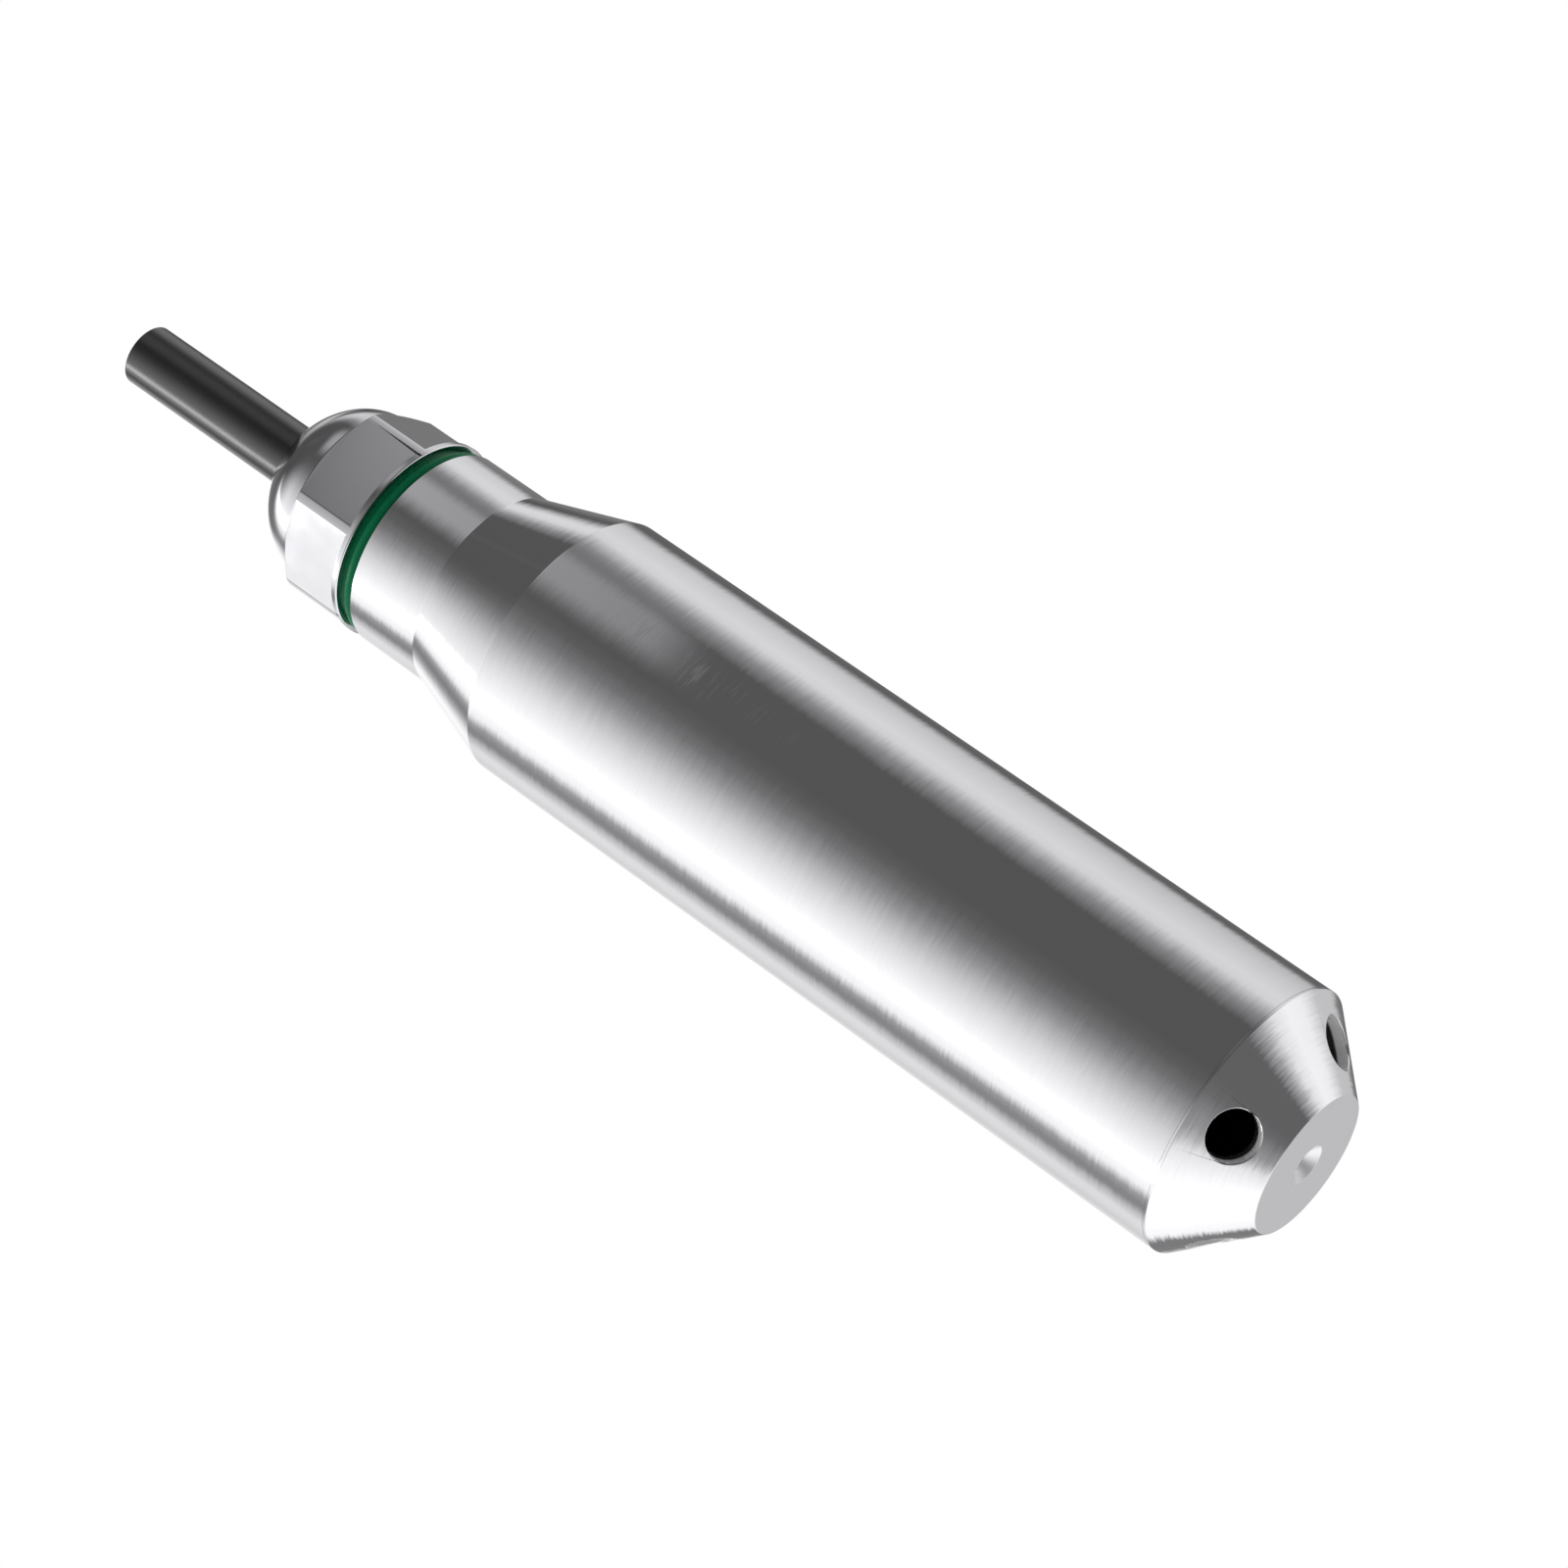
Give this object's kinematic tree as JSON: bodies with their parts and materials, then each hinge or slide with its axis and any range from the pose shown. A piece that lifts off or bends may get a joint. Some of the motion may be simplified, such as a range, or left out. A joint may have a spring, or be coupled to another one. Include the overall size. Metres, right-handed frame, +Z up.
{
  "type": "submersible level transmitter",
  "caption": "Slim steel probe that hangs in liquid: ported conical nose cap, tapered shoulder, green gland seal, domed hexagon gland nut and a cut cable.",
  "frame": {"origin": "centre of the flat on the nose", "axes": "+Z up the probe's axis, from the nose to the cable, as it hangs; +X through the middle of a side port"},
  "size_m": [0.028, 0.028, 0.1487],
  "materials": {
    "turned_steel": "turned, fine lines round the axis",
    "nose_steel": "turned smooth",
    "nut_steel": "milled flats, polished dome",
    "bright_foil": "bright rolled",
    "black_rubber": "moulded",
    "green_rubber": "moulded, slight sheen",
    "cable_sheath": "extruded, satin",
    "tinned_copper": "braided, tinned",
    "brass": "turned",
    "gold_plate": "plated",
    "header_glass": "fused",
    "potting_resin": "cast",
    "insulating_film": "rolled film",
    "support_plastic": "moulded",
    "board_laminate": "solder mask",
    "chip_black": "moulded",
    "ceramic_white": "glazed",
    "clear_nylon": "extruded",
    "wire_red": "extruded",
    "wire_blue": "extruded",
    "wire_white": "extruded",
    "wire_yellow": "extruded"
  },
  "bodies": {
    "probe": {"housing": "turned_steel", "gland_o_ring": "green_rubber", "compression_bush": "black_rubber", "cable_jacket": "cable_sheath", "cable_braid": "tinned_copper", "core_plus": "wire_red", "core_minus": "wire_blue", "vent_tube": "clear_nylon", "strain_relief_ferrule": "brass", "potting_plug": "potting_resin", "sensor_carrier": "turned_steel", "carrier_o_ring": "black_rubber", "snap_ring": "bright_foil", "weld_ring": "turned_steel", "diaphragm": "bright_foil", "capsule_body": "turned_steel", "capsule_o_ring": "black_rubber", "glass_header": "header_glass", "vent_pipe": "turned_steel", "header_pin_1": "gold_plate", "header_pin_2": "gold_plate", "header_pin_3": "gold_plate", "header_pin_4": "gold_plate", "capsule_lead_1": "wire_red", "capsule_lead_2": "wire_white", "capsule_lead_3": "wire_blue", "capsule_lead_4": "wire_yellow", "insulating_sleeve": "insulating_film", "front_support": "support_plastic", "rear_support": "support_plastic", "circuit_board": "board_laminate", "converter_chip": "chip_black", "amplifier_chip": "chip_black", "memory_chip": "chip_black", "current_loop_transistor": "chip_black", "tantalum_capacitor": "wire_yellow", "filter_inductor": "chip_black", "surge_arrester": "ceramic_white"},
    "cap_seal": {"nose_cap_o_ring": "black_rubber"},
    "nose_cap": {"nose_cap": "nose_steel"},
    "slip_washer": {"thrust_washer": "turned_steel"},
    "gland_nut": {"gland_nut": "nut_steel"}
  },
  "joints": [
    {"name": "nose_cap_travel", "type": "slide", "parent": "probe", "child": "cap_seal", "axis": [0, 0, -1], "range_m": [0, 0.00905]},
    {"name": "nose_cap_screw", "type": "hinge", "parent": "cap_seal", "child": "nose_cap", "pos_m": [0, 0, 0], "axis": [0, 0, -1], "range_deg": [0, 2160]},
    {"name": "gland_nut_travel", "type": "slide", "parent": "probe", "child": "slip_washer", "axis": [0, 0, 1], "range_m": [0, 0.00755]},
    {"name": "gland_nut_screw", "type": "hinge", "parent": "slip_washer", "child": "gland_nut", "pos_m": [0, 0, 0.1117], "axis": [0, 0, 1], "range_deg": [0, 1800]}
  ],
  "couplings": [
    {"joint": "nose_cap_travel", "follows": "nose_cap_screw", "m_per_rad": 0.00023873},
    {"joint": "gland_nut_travel", "follows": "gland_nut_screw", "m_per_rad": 0.00023873}
  ]
}
